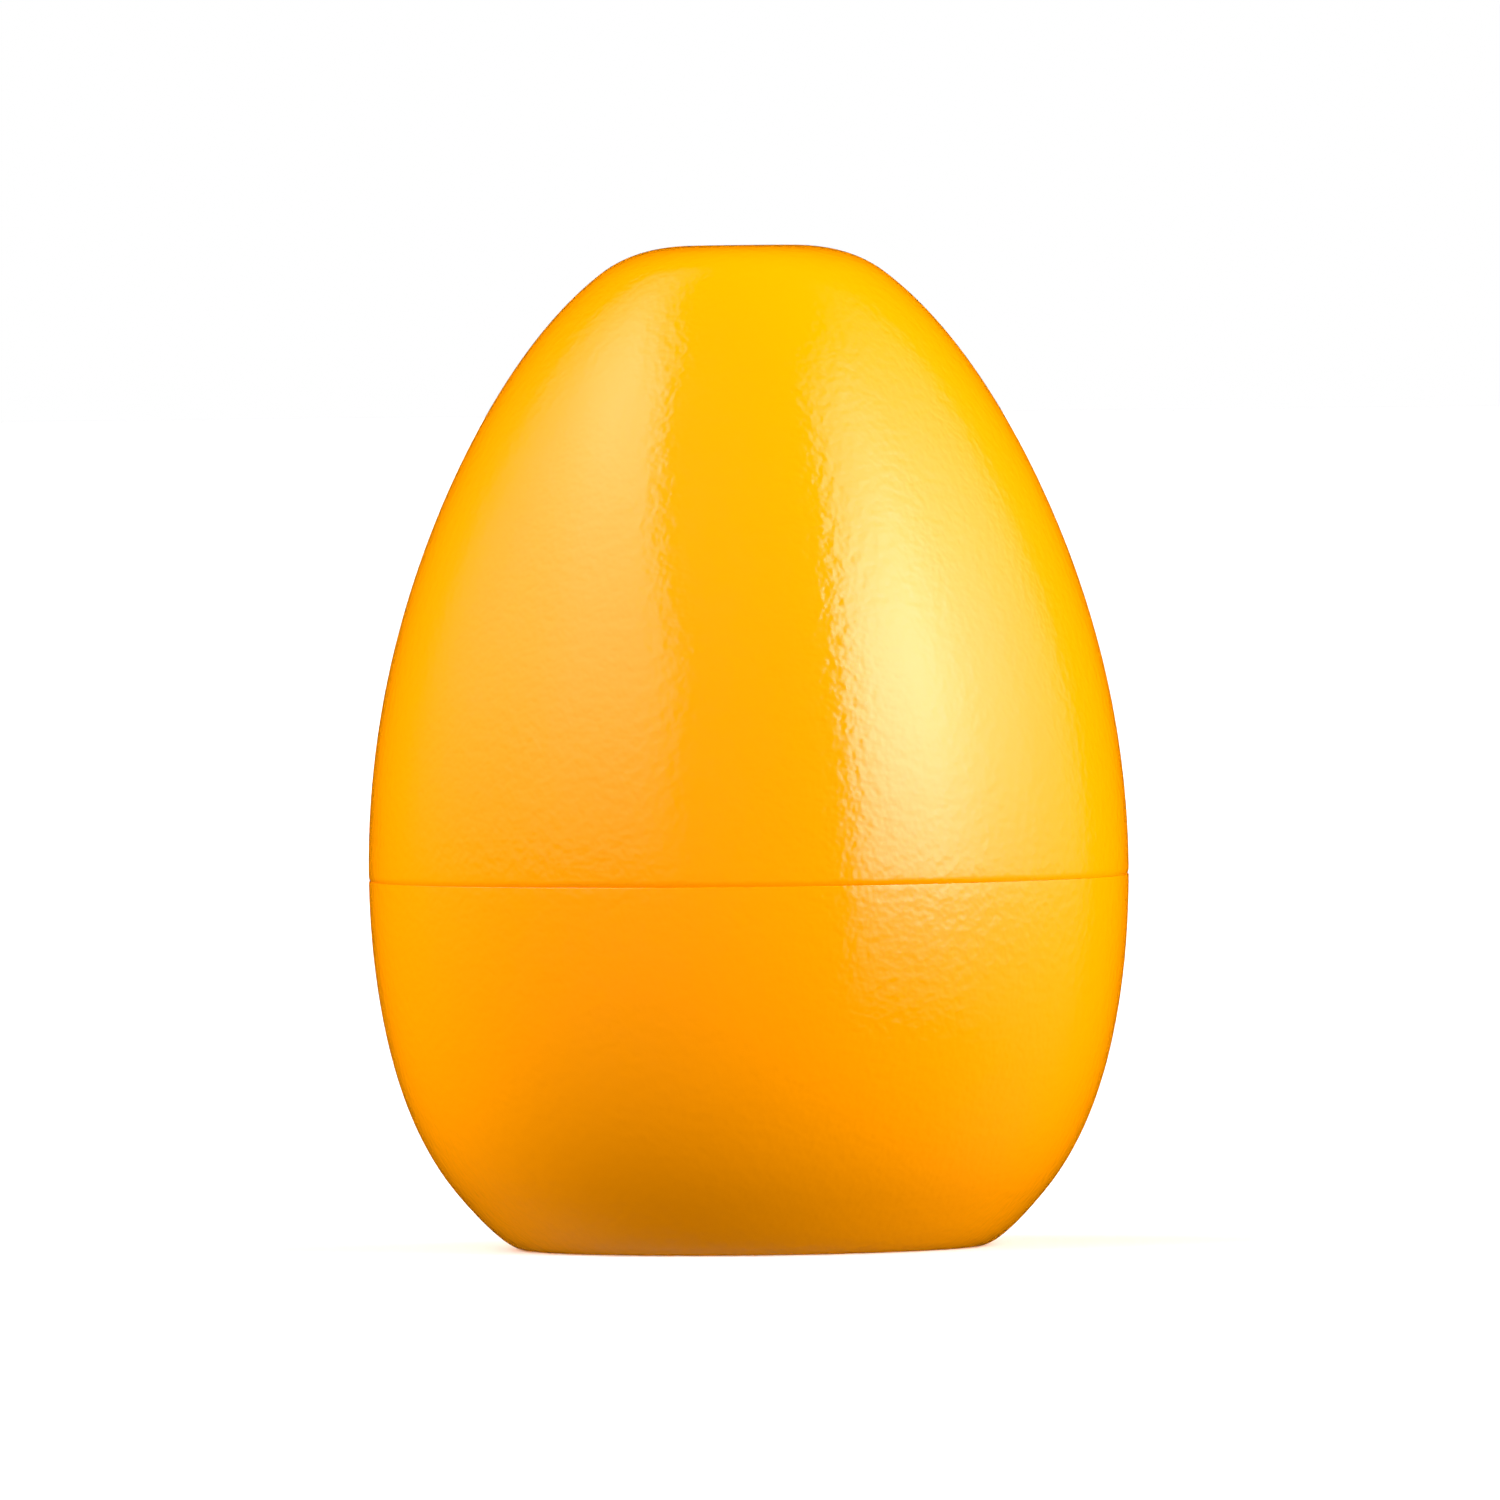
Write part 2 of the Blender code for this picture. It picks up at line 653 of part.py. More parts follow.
def make_top_plate():
    loops = [circle(CENTRE, PLATE_R, SHELL_STEPS), circle(CENTRE, MAIN_R + 0.3, 12)]
    loops += pivot_holes()
    loops += [circle(polar(PILLAR_RADIUS, a), SCREW_HOLE_R, SMALL_STEPS) for a in PILLAR_ANGLES]
    loops.append(circle(LEVER_PIVOT, 0.8, SMALL_STEPS))
    loops.append(circle(LEVER_SPRING_FOOT, 0.5, SMALL_STEPS))
    far = STOP_PIN_ANGLE - DIAL_TRAVEL
    loops.append(arc_slot(3.8, 5.2, far - 10.0, STOP_PIN_ANGLE + 10.0, 18))
    for window in ((8.0, 19.0, 325.0, 350.0), (8.0, 19.0, 278.0, 310.0)):
        loops.append(arc_slot(*window, 5))
    return finish(prism("top_plate", loops, *TOP_PLATE_Z), MOVEMENT, BRASS, 1.0, 0.3)


def make_pillar(index, angle):
    at = polar(PILLAR_RADIUS, angle)
    steps = [(PILLAR_R, 26.7, 13.9), (0.8, 13.9, 12.8)]
    pillar = stepped_rod(f"pillar_{index}", steps, at, 12)
    bore = stepped_rod(f"pillar_bore_{index}", [(PILLAR_BORE_R, 28.0, 22.5)], at)
    boolean(pillar, bore, "DIFFERENCE")
    return finish(pillar, MOVEMENT, STEEL, 1.0, 0.35)


def make_mainspring():
    """A flat spiral whose outer end hooks round the spring post."""
    post_radius, post_angle = SPRING_POST
    inner_r = BARREL_CORE_R + 0.5
    hook_r = 1.25
    outer_r = post_radius - hook_r
    turns = MAINSPRING_TURNS
    steps = int(18 * turns)
    path = []
    for i in range(steps + 1):
        t = i / steps
        angle = post_angle - 360.0 * turns * (1.0 - t)
        path.append(polar(inner_r + (outer_r - inner_r) * t, angle))
    post = polar(post_radius, post_angle)
    path += [polar(hook_r, post_angle + 180.0 + a, post) for a in (35, 70, 105, 140, 175)]
    left, right = [], []
    for i, (x, y) in enumerate(path):
        before = path[max(0, i - 1)]
        after = path[min(len(path) - 1, i + 1)]
        dx, dy = after[0] - before[0], after[1] - before[1]
        half = 0.5 * MAINSPRING_THICK / math.hypot(dx, dy)
        left.append((x - dy * half, y + dx * half))
        right.append((x + dy * half, y - dx * half))
    spring = prism("mainspring", [left + right[::-1]], *MAINSPRING_Z)
    return finish(spring, MOVEMENT, SPRING_STEEL, 1.0, 0.3)


# ---------------------------------------------------------------- trains


def make_wheel(name, centre, module, phase, z_range, hole_r, parent):
    radius = 0.5 * WHEEL_TEETH * module
    rim = radius - 2.6 * module
    hub = hole_r + 1.2
    loops = [wheel_outline(centre, module, phase), circle(centre, hole_r, SMALL_STEPS)]
    for i in range(4):
        start = phase + 90.0 * i + 12.0
        loops.append(arc_slot(hub + 0.6, rim, start, start + 66.0, 5, centre))
    return finish(prism(name, loops, *z_range), parent, BRASS, 1.0, 0.3)


def make_arbor(name, centre, module, phase, mesh_z, parent):
    """A pivoted arbor; with a module it also carries a leaf pinion."""
    steps = [
        (PIVOT_R, PIVOT_Z[1], SHAFT_Z[1]),
        (ARBOR_R, SHAFT_Z[1], SHAFT_Z[0]),
        (PIVOT_R, SHAFT_Z[0], PIVOT_Z[0]),
    ]
    arbor = stepped_rod(name, steps, centre)
    if module:
        low_z, high_z = mesh_z[0] - PINION_EXTRA, mesh_z[1] + PINION_EXTRA
        leaves = prism(name + "_leaves", [pinion_outline(centre, module, phase)], low_z, high_z)
        boolean(arbor, leaves, "UNION")
    return finish(arbor, parent, STEEL, 1.0, 0.3)


def make_going_train():
    wheel_phases = {
        "great": DIR_SECOND,
        "second": DIR_THIRD,
        "third": DIR_FOURTH,
        "fourth": DIR_ESCAPE,
    }
    make_wheel("great_wheel", CENTRE, MODULE_1, wheel_phases["great"], GREAT_Z, MAIN_R + 0.2, GREAT_AXIS)
    rows = (
        ("second", SECOND, MODULE_1, MODULE_2, GREAT_Z, SECOND_Z, DIR_SECOND, SECOND_AXIS),
        ("third", THIRD, MODULE_2, MODULE_3, SECOND_Z, THIRD_Z, DIR_THIRD, THIRD_AXIS),
        ("fourth", FOURTH, MODULE_3, MODULE_4, THIRD_Z, FOURTH_Z, DIR_FOURTH, FOURTH_AXIS),
    )
    previous = "great"
    for name, centre, drive, own, drive_z, own_z, direction, axis in rows:
        phase = meshing_phase(wheel_phases[previous], direction)
        make_arbor(name + "_arbor", centre, drive, phase, drive_z, axis)
        make_wheel(name + "_wheel", centre, own, wheel_phases[name], own_z, ARBOR_R + 0.2, axis)
        previous = name
    phase = meshing_phase(wheel_phases["fourth"], DIR_ESCAPE)
    make_arbor("escape_arbor", ESCAPE, MODULE_4, phase, FOURTH_Z, ESCAPE_AXIS)


def make_escapement():
    tooth_phase = DIR_PALLET + 180.0 / ESCAPE_TEETH
    rim = toothed(ESCAPE, ESCAPE_TEETH, ESCAPE_TIP_R, ESCAPE_ROOT_R, 0.04, 0.16, tooth_phase)
    loops = [rim, circle(ESCAPE, ARBOR_R + 0.2, SMALL_STEPS)]
    finish(prism("escape_wheel", loops, *ESCAPE_Z), ESCAPE_AXIS, BRASS, 1.0, 0.3)
    make_arbor("balance_arbor", PALLET, None, 0.0, None, BALANCE_AXIS)
    low, high = PALLET_Z
    pins = [polar(PALLET_PIN_RADIUS, DIR_PALLET + s * PALLET_HALF_SPAN, ESCAPE) for s in (-1, 1)]
    lever = prism("pallet_lever", [capsule(PALLET, 1.5, pins[0], 0.5)], low, high)
    boolean(lever, prism("pallet_arm", [capsule(PALLET, 1.5, pins[1], 0.5)], low, high), "UNION")
    for i, at in enumerate(pins):
        pin = stepped_rod(f"pallet_pin_{i}", [(PALLET_PIN_R, low + 0.2, ESCAPE_Z[0] - 0.1)], at, 8)
        boolean(lever, pin, "UNION")
    bore = stepped_rod("pallet_bore", [(ARBOR_R + 0.2, high + 1.0, low - 1.0)], PALLET)
    boolean(lever, bore, "DIFFERENCE")
    finish(lever, BALANCE_AXIS, STEEL, 1.0, 0.3)
    loops = [circle(PALLET, BALANCE_R), circle(PALLET, ARBOR_R + 0.2, SMALL_STEPS)]
    for start in (DIR_PALLET + 15.0, DIR_PALLET + 195.0):
        loops.append(arc_slot(1.9, BALANCE_R - 1.2, start, start + 150.0, 9, PALLET))
    finish(prism("balance_wheel", loops, *BALANCE_Z), BALANCE_AXIS, BRASS, 1.0, 0.3)


def make_ringing_train():
    phase = meshing_phase(DIR_SECOND, DIR_RINGER)
    make_arbor("ringer_arbor", RINGER, MODULE_1, phase, GREAT_Z, RINGER_AXIS)
    rim = toothed(RINGER, STAR_TEETH, STAR_TIP_R, STAR_ROOT_R, 0.05, 0.25, 0.0)
    loops = [rim, circle(RINGER, ARBOR_R + 0.2, SMALL_STEPS)]
    finish(prism("star_wheel", loops, *ESCAPE_Z), RINGER_AXIS, STEEL, 1.0, 0.3)
    steps = [
        (PIVOT_R, PIVOT_Z[1], SHAFT_Z[1]),
        (ARBOR_R, SHAFT_Z[1], 9.9),
    ]
    finish(stepped_rod("hammer_arbor", steps, HAMMER), HAMMER_AXIS, STEEL, 1.0, 0.3)
    head = polar(*HAMMER_HEAD)
    hole = circle(HAMMER, ARBOR_R + 0.2, SMALL_STEPS)
    arm = prism("hammer_arm", [capsule(HAMMER, 1.3, head, 1.0), hole], *HAMMER_ARM_Z)
    finish(arm, HAMMER_AXIS, STEEL, 1.0, 0.35)
    low, high = HAMMER_HEAD_Z
    block = stepped_rod("hammer_head", [(HAMMER_HEAD_R, high, low)], head, 16)
    finish(block, HAMMER_AXIS, BRASS, 1.0, 0.35)
    towards = math.degrees(math.atan2(RINGER[1] - HAMMER[1], RINGER[0] - HAMMER[0]))
    tip = polar(HAMMER_TAIL - 0.35, towards, HAMMER)
    tail = prism("hammer_tail", [capsule(HAMMER, 1.3, tip, 0.35), hole], *HAMMER_TAIL_Z)
    finish(tail, HAMMER_AXIS, STEEL, 1.0, 0.35)
    coil = []
    for i in range(HAMMER_SPRING_TURNS * 10 + 1):
        height = HAMMER_SPRING_Z + HAMMER_SPRING_PITCH * i / 10.0
        coil.append((*polar(HAMMER_SPRING_R, 36.0 * i, HAMMER), height))
    finish(wire("hammer_spring", coil, 0.15), MOVEMENT, SPRING_STEEL, 1.0, 0.3)


# ---------------------------------------------------------------- stop lever and bell


def make_stop_lever():
    nose = polar(LEVER_NOSE_R + 0.4, LEVER_NOSE_ANGLE)
    bar = prism("stop_lever", [capsule(LEVER_PIVOT, 1.7, LEVER_ELBOW, 0.7)], *CAM_Z)
    tip = prism("lever_nose", [capsule(LEVER_ELBOW, 0.7, nose, 0.4)], *CAM_Z)
    boolean(bar, tip, "UNION")
    bore = stepped_rod("lever_bore", [(1.0, 31.0, 27.0)], LEVER_PIVOT)
    boolean(bar, bore, "DIFFERENCE")
    finish(bar, LEVER_AXIS, STEEL, 1.0, 0.35)
    steps = [(1.5, 30.2, 29.7), (0.8, 29.7, 28.3), (0.6, 28.3, 27.2)]
    finish(stepped_rod("lever_pivot", steps, LEVER_PIVOT), MOVEMENT, STEEL, 1.0, 0.3)
    foot = LEVER_SPRING_FOOT
    path = [(*foot, 27.4), (*foot, 28.9), (-7.6, -14.6, 28.95), (-8.0, -12.4, 28.95)]
    finish(wire("lever_spring", path, 0.2), MOVEMENT, SPRING_STEEL, 1.0, 0.3)


def make_bell():
    profile = list(BELL_OUTER) + list(BELL_INNER)
    finish(lathe("bell", profile, 32, closed=True), MOVEMENT, BELL_STEEL, 1.0, 0.2)
    steps = [(1.0, 12.95, 12.3), (2.4, 12.3, 6.2), (1.1, 6.2, 3.2)]
    finish(stepped_rod("bell_stud", steps, CENTRE, 12), MOVEMENT, STEEL, 1.0, 0.3)
    nut = prism("bell_nut", [circle(CENTRE, 2.5, 6), circle(CENTRE, 1.35, 12)], 3.5, 4.8)
    finish(nut, MOVEMENT, ZINC, 0.9, 0.35)


make_bottom_shell()
make_base_cover()
for number, angle in enumerate(COVER_SCREW_ANGLES, start=1):
    place = polar(COVER_SCREW_RADIUS, angle)
    make_screw(f"cover_screw_{number}", place, 1.3, (0.3, 1.0), 0.5, 3.7, CASE, angle)
make_bottom_plate()
make_top_plate()
for number, angle in enumerate(PILLAR_ANGLES, start=1):
    make_pillar(number, angle)
    place = polar(PILLAR_RADIUS, angle)
    make_screw(f"plate_screw_{number}", place, 1.5, (28.3, 29.3), 0.7, 23.5, MOVEMENT, angle + 40.0)
for number, angle in enumerate(POST_ANGLES, start=1):
    place = polar(POST_RADIUS, angle)
    make_screw(f"movement_screw_{number}", place, 1.5, (13.9, 14.9), 0.6, 7.5, MOVEMENT, angle)
make_mainspring()
make_going_train()
make_escapement()
make_ringing_train()
make_stop_lever()
make_bell()
make_main_arbor()
make_alarm_cam()
make_stop_pin()
make_clutch_washer()
make_dial_carrier()
for number, angle in enumerate(BOSS_ANGLES, start=1):
    place = polar(BOSS_RADIUS, angle)
    make_screw(f"carrier_screw_{number}", place, 1.5, (30.2, 31.2), 0.75, 40.0, DIAL, angle)
make_top_shell()
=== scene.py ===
"""Looks for the egg-shaped kitchen timer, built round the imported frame."""

import json
import math

import bmesh
import bpy
from mathutils import Matrix, Vector


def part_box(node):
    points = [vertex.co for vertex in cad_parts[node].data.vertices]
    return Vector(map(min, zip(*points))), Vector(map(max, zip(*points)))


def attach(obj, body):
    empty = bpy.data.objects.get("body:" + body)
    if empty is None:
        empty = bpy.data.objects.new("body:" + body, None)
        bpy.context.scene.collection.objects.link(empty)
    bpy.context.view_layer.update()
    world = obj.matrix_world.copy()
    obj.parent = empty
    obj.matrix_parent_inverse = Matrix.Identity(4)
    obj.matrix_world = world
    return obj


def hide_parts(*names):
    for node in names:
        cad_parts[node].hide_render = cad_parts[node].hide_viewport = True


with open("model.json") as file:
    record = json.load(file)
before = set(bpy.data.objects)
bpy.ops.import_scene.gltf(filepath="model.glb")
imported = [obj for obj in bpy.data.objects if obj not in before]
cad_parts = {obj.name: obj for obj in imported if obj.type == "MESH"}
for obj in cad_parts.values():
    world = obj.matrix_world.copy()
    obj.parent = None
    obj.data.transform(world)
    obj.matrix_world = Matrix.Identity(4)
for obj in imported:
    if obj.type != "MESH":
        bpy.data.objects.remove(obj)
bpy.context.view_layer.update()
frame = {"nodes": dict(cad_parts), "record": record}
NODES = frame["nodes"]
MM = 0.001
DEGREE = 180.0 / math.pi

# ---------------------------------------------------------------- sizes from the frame, in mm

DIAL_LOW, DIAL_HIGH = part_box("top_shell")
HEIGHT = DIAL_HIGH[2] / MM
CAD_SEAM_GAP = 0.3
SEAM_Z = DIAL_LOW[2] / MM - 0.5 * CAD_SEAM_GAP
LIP_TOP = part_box("bottom_shell")[1][2] / MM

# ---------------------------------------------------------------- sizes of its own, in mm

# Egg outline: r(z) = R sqrt(1 - u^2) (1 + K1 u + K2 u^2 + K3 u^3 + K4 u^4)
EGG_MID_Z = 37.1832
EGG_HALF = 41.6564
EGG_RADIUS = 28.7433
EGG_SHAPE = (-0.1714, 0.0539, -0.1230, 0.1437)

# Flat top and flat foot, each blended into the egg by one curve
TOP_CENTRE_R = 2.0
TOP_FLAT_R = 3.8
TOP_CORNER_R = 8.18
TOP_BLEND_Z = 74.9
FOOT_FLAT_R = 17.6
FOOT_CORNER_R = 19.04
FOOT_BLEND_Z = 4.0

# The seam, and how far each shell's edge is rounded along and into its wall
SEAM_GAP = 0.01
DIAL_ROUNDING = (0.55, 0.12)
BASE_ROUNDING = (0.05, 0.02)
ROUNDING_BULGE = 0.6
CHAMFER = 0.2

# Inside of the two shells
WALL_SIDE = 1.6
WALL_SHIFT = 1.0
RIM_INNER_R = 27.3
RIM_INNER_TOP = 32.6
DIAL_WALL_Z = (36.0, 73.2)
CEILING_R = 6.0
CEILING_Z = 75.1
LIP_OUTER_R = 26.95
LIP_INNER_R = 25.6
LIP_FOOT_Z = 26.2
BASE_WALL_TOP = 24.6
OPENING_R = 15.0
OPENING_CHAMFER = 0.25
LEDGE_R = 11.0
LEDGE_Z = 2.3
FLOOR_Z = 4.0

# Steps round and along the shells
AROUND = 192
CORNER_STEPS = 14
DIAL_STEPS = 72
FOOT_STEPS = 12
BASE_STEPS = 48
ROUNDING_STEPS = 6
SHARP_ANGLE = 35.0

# Dial scale on the half that is turned away
MINUTES = 60
LABEL_EVERY = 5
MINUTE_STEP = 2.75
POINTER_ANGLE = 7.5
TICK_LOW = 30.0
LONG_TICK = (2.2, 0.32)
SHORT_TICK = (1.3, 0.2)
NUMERAL_SIZE = 4.2
NUMERAL_WEIGHT = 0.03
NUMERAL_UP = 3.1
POINTER_DROP = 0.6
POINTER_LENGTH = 2.4
POINTER_HALF_TIP = 0.05
POINTER_HALF_FLARE = 1.15
INK_LIFT = 0.03
INK_SINK = 0.03

# Floor and camera
FLOOR_RADIUS = 6000.0
FLOOR_DROP = 0.03
FLOOR_STEPS = 96
VIEW_WIDTH = 115.3
CAMERA_DISTANCE = 2500.0
CAMERA_ELEVATION = 1.2
CAMERA_ROLL = -0.62
CAMERA_SENSOR = 36.0
CAMERA_CLIP = (0.01, 100.0)
AIM = (0.2, 0.0, 38.2)


# ---------------------------------------------------------------- outline helpers, in mm


def polar(radius, degrees):
    angle = math.radians(degrees)
    return radius * math.cos(angle), radius * math.sin(angle)


def spaced(start, end, count):
    return [start + (end - start) * i / (count - 1) for i in range(count)]


def bezier(p0, p1, p2, count):
    """Points on a quadratic curve from p0 to p2, both ends included."""
    points = []
    for i in range(count + 1):
        t = i / count
        a, b, c = (1 - t) ** 2, 2 * t * (1 - t), t * t
        points.append((a * p0[0] + b * p1[0] + c * p2[0], a * p0[1] + b * p1[1] + c * p2[1]))
    return points


def egg_radius(z):
    """Outer radius of the egg at height z, before its two ends are flattened."""
    u = (z - EGG_MID_Z) / EGG_HALF
    shape = 1.0 + sum(k * u ** (i + 1) for i, k in enumerate(EGG_SHAPE))
    return EGG_RADIUS * math.sqrt(max(0.0, 1.0 - u * u)) * shape


def egg_arc(z_from, z_to, count):
    """Points down the egg's side, closer together where it curves inwards."""
    start = math.acos((z_from - EGG_MID_Z) / EGG_HALF)
    end = math.acos((z_to - EGG_MID_Z) / EGG_HALF)
    heights = [EGG_MID_Z + EGG_HALF * math.cos(a) for a in spaced(start, end, count)]
    return [(egg_radius(z), z) for z in heights]


# ---------------------------------------------------------------- node helpers


class Nodes:
    """Short calls for one node tree."""

    def __init__(self, tree):
        self.tree = tree
        self.tree.nodes.clear()

    def add(self, kind, **settings):
        node = self.tree.nodes.new(kind)
        for key, value in settings.items():
            setattr(node, key, value)
        return node

    def link(self, source, target):
        self.tree.links.new(source, target)

    def math(self, operation, *values, clamp=False):
        node = self.add("ShaderNodeMath", operation=operation, use_clamp=clamp)
        for socket, value in zip(node.inputs, values):
            if isinstance(value, (int, float)):
                socket.default_value = value
            else:
                self.link(value, socket)
        return node.outputs[0]

    def ramp(self, value, stops, low, high):
        """Piecewise linear curve through (position, brightness) stops."""
        scaled = self.math("DIVIDE", self.math("SUBTRACT", value, low), high - low, clamp=True)
        node = self.add("ShaderNodeValToRGB")
        elements = node.color_ramp.elements
        while len(elements) < len(stops):
            elements.new(0.5)
        for element, (position, level) in zip(elements, stops):
            element.position = (position - low) / (high - low)
            element.color = (level, level, level, 1.0)
        self.link(scaled, node.inputs[0])
        return node.outputs[0]

    def noise(self, vector, scale, detail, roughness=0.5):
        node = self.add("ShaderNodeTexNoise")
        node.inputs["Scale"].default_value = scale
        node.inputs["Detail"].default_value = detail
        node.inputs["Roughness"].default_value = roughness
        self.link(vector, node.inputs["Vector"])
        return node.outputs["Fac"]

    def spread(self, value, low, high):
        """Stretch a noise, which stays near its middle, to the range low to high."""
        node = self.add("ShaderNodeMapRange")
        node.inputs["From Min"].default_value = 0.3
        node.inputs["From Max"].default_value = 0.7
        node.inputs["To Min"].default_value = low
        node.inputs["To Max"].default_value = high
        self.link(value, node.inputs["Value"])
        return node.outputs["Result"]

    def mix_colour(self, factor, first, second):
        node = self.add("ShaderNodeMix", data_type="RGBA")
        self.link(factor, node.inputs["Factor"])
        node.inputs["A"].default_value = (*first, 1.0)
        node.inputs["B"].default_value = (*second, 1.0)
        return node.outputs["Result"]

    def bump(self, height, distance):
        node = self.add("ShaderNodeBump")
        node.inputs["Strength"].default_value = 1.0
        node.inputs["Distance"].default_value = distance
        self.link(height, node.inputs["Height"])
        return node.outputs["Normal"]


# ---------------------------------------------------------------- materials


def new_material(name, metallic=0.0):
    """A material with its node helper, its shader and the object's own coordinates."""
    material = bpy.data.materials.new(name)
    material.use_nodes = True
    nodes = Nodes(material.node_tree)
    output = nodes.add("ShaderNodeOutputMaterial")
    shader = nodes.add("ShaderNodeBsdfPrincipled")
    shader.inputs["Metallic"].default_value = metallic
    shader.inputs["IOR"].default_value = 1.5
    nodes.link(shader.outputs["BSDF"], output.inputs["Surface"])
    place = nodes.add("ShaderNodeTexCoord").outputs["Object"]
    return material, nodes, shader, place


def egg_plastic():
    """Yellow-orange moulded plastic with a satin gloss and faint orange peel."""
    material, nodes, shader, place = new_material("egg_plastic")
    shader.inputs["Specular IOR Level"].default_value = 0.3
    tone = nodes.noise(place, 60.0, 3.0)
    colour = nodes.mix_colour(nodes.spread(tone, 0.0, 1.0), (0.94, 0.285, 0.0), (0.96, 0.295, 0.0))
    nodes.link(colour, shader.inputs["Base Color"])
    grain = nodes.noise(place, 900.0, 2.0)
    nodes.link(nodes.spread(grain, 0.09, 0.13), shader.inputs["Roughness"])
    peel = nodes.bump(nodes.noise(place, 1300.0, 1.0), 0.000045)
    nodes.link(peel, shader.inputs["Normal"])
    return material


def metal(name, dark, light, rough, stretch=(1.0, 1.0, 1.0), grain_scale=900.0, depth=0.000003,
          metallic=1.0):
    """A metal with a stretched grain and an uneven tone."""
    material, nodes, shader, place = new_material(name, metallic=metallic)
    mapping = nodes.add("ShaderNodeMapping")
    mapping.inputs["Scale"].default_value = stretch
    nodes.link(place, mapping.inputs["Vector"])
    grain = nodes.noise(mapping.outputs["Vector"], grain_scale, 4.0, 0.6)
    cloud = nodes.noise(place, 180.0, 3.0)
    colour = nodes.mix_colour(nodes.spread(cloud, 0.0, 1.0), dark, light)
    nodes.link(colour, shader.inputs["Base Color"])
    nodes.link(nodes.spread(grain, rough - 0.07, rough + 0.09), shader.inputs["Roughness"])
    nodes.link(nodes.bump(grain, depth), shader.inputs["Normal"])
    return material


def moulded(name, dark, light, rough, specular=0.5):
    """Plain moulded plastic or ink with a fine, slightly cloudy surface."""
    material, nodes, shader, place = new_material(name)
    shader.inputs["Specular IOR Level"].default_value = specular
    cloud = nodes.noise(place, 220.0, 3.0)
    colour = nodes.mix_colour(nodes.spread(cloud, 0.0, 1.0), dark, light)
    nodes.link(colour, shader.inputs["Base Color"])
    grain = nodes.noise(place, 2500.0, 2.0)
    nodes.link(nodes.spread(grain, rough - 0.05, rough + 0.08), shader.inputs["Roughness"])
    nodes.link(nodes.bump(grain, 0.00001), shader.inputs["Normal"])
    return material


EGG = egg_plastic()
COVER = moulded("cover_plastic", (0.86, 0.24, 0.0), (0.92, 0.265, 0.0), 0.14, 0.15)
INNER = moulded("inner_plastic", (0.40, 0.38, 0.32), (0.46, 0.44, 0.38), 0.48, 0.3)
INK = moulded("scale_ink", (0.012, 0.012, 0.013), (0.03, 0.03, 0.032), 0.4)
BRASS = metal("brass", (0.60, 0.40, 0.13), (0.80, 0.58, 0.24), 0.27, (1.0, 6.0, 1.0))
STEEL = metal("turned_steel", (0.46, 0.47, 0.49), (0.62, 0.63, 0.65), 0.25, (1.0, 1.0, 8.0))
BLUED = metal("spring_steel", (0.16, 0.19, 0.27), (0.30, 0.33, 0.42), 0.28, (1.0, 1.0, 6.0))
ZINC = metal("zinc_steel", (0.55, 0.57, 0.58), (0.74, 0.75, 0.75), 0.34, metallic=0.6)
NICKEL = metal("bell_nickel", (0.64, 0.63, 0.61), (0.78, 0.77, 0.75), 0.16, (1.0, 1.0, 12.0),
               grain_scale=500.0, depth=0.000002, metallic=0.7)

SLOT_MATERIALS = {
    "case_plastic": COVER,
    "inner_plastic": INNER,
    "brass": BRASS,
    "steel": STEEL,
    "spring_steel": BLUED,
    "zinc_steel": ZINC,
    "bell_steel": NICKEL,
}

for entry in frame["record"]["subparts"]:
    node = NODES[entry["node"]]
    node.data.materials.clear()
    node.data.materials.append(SLOT_MATERIALS[entry["material_slot"]])


# ---------------------------------------------------------------- mesh helpers


def mesh_piece(name, shape, material, body):
    """Turn a bmesh into a smooth-shaded piece that rides on a body."""
    bmesh.ops.recalc_face_normals(shape, faces=shape.faces)
    mesh = bpy.data.meshes.new(name)
    shape.to_mesh(mesh)
    shape.free()
    for polygon in mesh.polygons:
        polygon.use_smooth = True
    mesh.set_sharp_from_angle(angle=math.radians(SHARP_ANGLE))
    mesh.materials.append(material)
    piece = bpy.data.objects.new(name, mesh)
    bpy.context.scene.collection.objects.link(piece)
    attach(piece, body)
    return piece


def turned(profile):
    """A closed profile of (radius, z) points, in mm, turned about the z axis."""
    shape = bmesh.new()
    angles = [2.0 * math.pi * i / AROUND for i in range(AROUND)]
    rings = []
    for radius, z in profile:
        if radius == 0.0:
            rings.append([shape.verts.new((0.0, 0.0, z * MM))])
            continue
        rings.append([
            shape.verts.new((radius * MM * math.cos(a), radius * MM * math.sin(a), z * MM))
            for a in angles
        ])
    for first, second in zip(rings, rings[1:] + rings[:1]):
        if len(first) == 1 and len(second) == 1:
            continue
        for i in range(AROUND):
            j = (i + 1) % AROUND
            if len(first) == 1:
                shape.faces.new((first[0], second[j], second[i]))
            elif len(second) == 1:
                shape.faces.new((first[i], first[j], second[0]))
            else:
                shape.faces.new((first[i], first[j], second[j], second[i]))
    return shape


# ---------------------------------------------------------------- shells


def softened(edge_z, start_z, depth):
    """A rounded shell edge at the parting line, from the egg's surface inwards."""
    middle_z = start_z + ROUNDING_BULGE * (edge_z - start_z)
    start = (egg_radius(start_z), start_z)
    middle = (egg_radius(middle_z), middle_z)
    end = (egg_radius(edge_z) - depth, edge_z)
    return bezier(start, middle, end, ROUNDING_STEPS)[1:]


